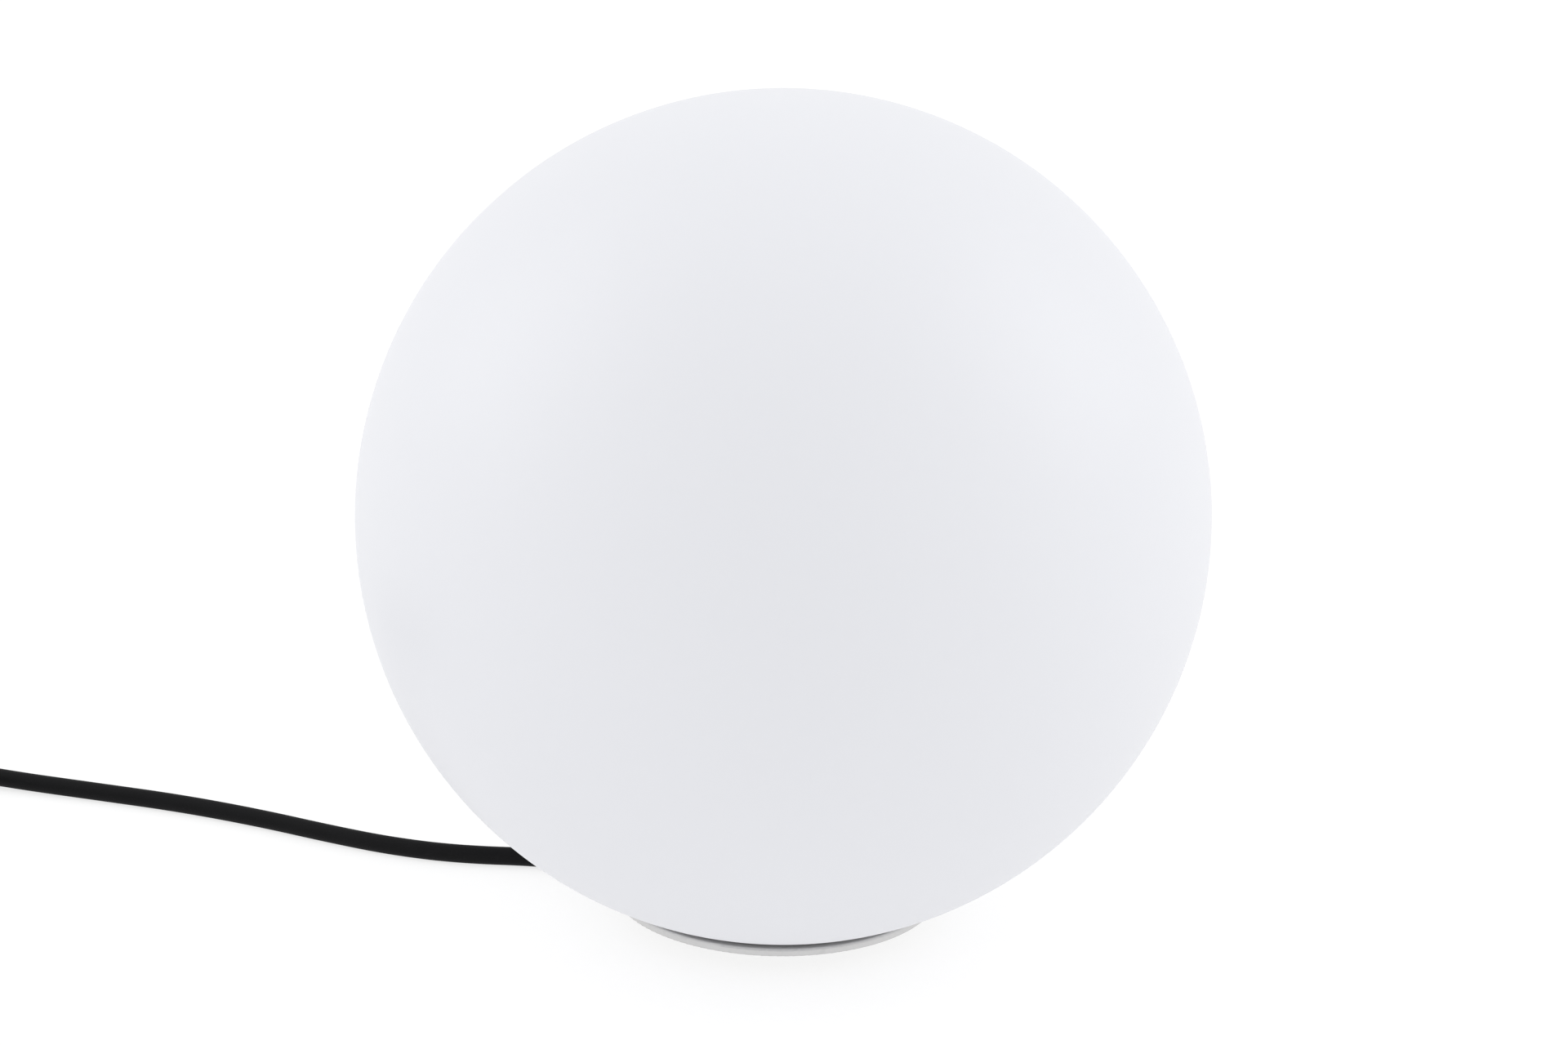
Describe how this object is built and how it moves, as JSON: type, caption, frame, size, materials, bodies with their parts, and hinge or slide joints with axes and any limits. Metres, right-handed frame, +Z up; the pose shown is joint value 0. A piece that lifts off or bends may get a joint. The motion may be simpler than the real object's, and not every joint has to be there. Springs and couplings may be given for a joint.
{
  "type": "outdoor globe floor lamp",
  "caption": "White opal globe lamp for outdoors on a low round base. The globe and the lamp inside it unscrew, and a black rubber mains lead leaves under the rim.",
  "frame": {"origin": "on the floor, under the middle of the globe", "axes": "+Z up along the lamp's axis, -X the way the mains lead leaves the base"},
  "size_m": [0.5757, 0.3, 0.2995],
  "materials": {
    "opal_plastic": "satin opal polyethylene",
    "white_plastic": "satin moulded",
    "lead_rubber": "matte",
    "seal_rubber": "matte",
    "screw_steel": "zinc plated",
    "contact_brass": "bright",
    "holder_plastic": "moulded, heat resistant",
    "lamp_cap_metal": "bright",
    "lamp_insulator": "glossy",
    "lamp_housing": "glossy white",
    "lamp_dome": "frosted",
    "circuit_board": "white lacquer",
    "light_chip": "yellow phosphor",
    "core_brown": "insulated core",
    "core_blue": "insulated core",
    "tie_strap": "woven strap",
    "pin_metal": "nickel plated"
  },
  "bodies": {
    "base": {"base_plate": "white_plastic", "bottom_cover": "white_plastic", "cover_gasket": "seal_rubber", "cover_screws": "screw_steel", "rubber_feet": "seal_rubber", "holder_tower": "white_plastic", "tower_screws": "screw_steel", "lampholder_body": "holder_plastic", "lampholder_screws": "screw_steel", "lampholder_sleeve": "contact_brass", "centre_contact": "contact_brass", "side_contact": "contact_brass", "terminal_screws": "contact_brass", "cable_boot": "lead_rubber", "lead_inner": "lead_rubber", "lead_clamp": "white_plastic", "clamp_screws": "screw_steel", "live_wire": "core_brown", "neutral_wire": "core_blue", "cord_free": "lead_rubber", "cord_coil": "lead_rubber", "coil_tie": "tie_strap", "plug_boot": "lead_rubber", "plug_body": "lead_rubber", "plug_pins": "pin_metal"},
    "globe_seal": {"globe_gasket": "seal_rubber"},
    "globe": {"globe": "opal_plastic", "globe_ring": "white_plastic"},
    "lamp_tip": {"bulb_tip_contact": "lamp_cap_metal"},
    "lamp": {"bulb_insulator": "lamp_insulator", "bulb_cap": "lamp_cap_metal", "bulb_housing": "lamp_housing", "bulb_led_board": "circuit_board", "bulb_led_chips": "light_chip", "bulb_driver": "circuit_board", "bulb_diffuser": "lamp_dome"}
  },
  "joints": [
    {"name": "globe_lift", "type": "slide", "parent": "base", "child": "globe_seal", "axis": [0, 0, 1], "range_m": [0, 0.00751]},
    {"name": "globe_turn", "type": "hinge", "parent": "globe_seal", "child": "globe", "pos_m": [0, 0, 0.0098], "axis": [0, 0, 1], "range_deg": [0, 450]},
    {"name": "lamp_lift", "type": "slide", "parent": "base", "child": "lamp_tip", "axis": [0, 0, 1], "range_m": [0, 0.01362]},
    {"name": "lamp_turn", "type": "hinge", "parent": "lamp_tip", "child": "lamp", "pos_m": [0, 0, 0.0714], "axis": [0, 0, 1], "range_deg": [0, 1350]}
  ],
  "couplings": [
    {"joint": "globe_lift", "follows": "globe_turn", "m_per_rad": 0.00095493},
    {"joint": "lamp_lift", "follows": "lamp_turn", "m_per_rad": 0.00057757}
  ]
}
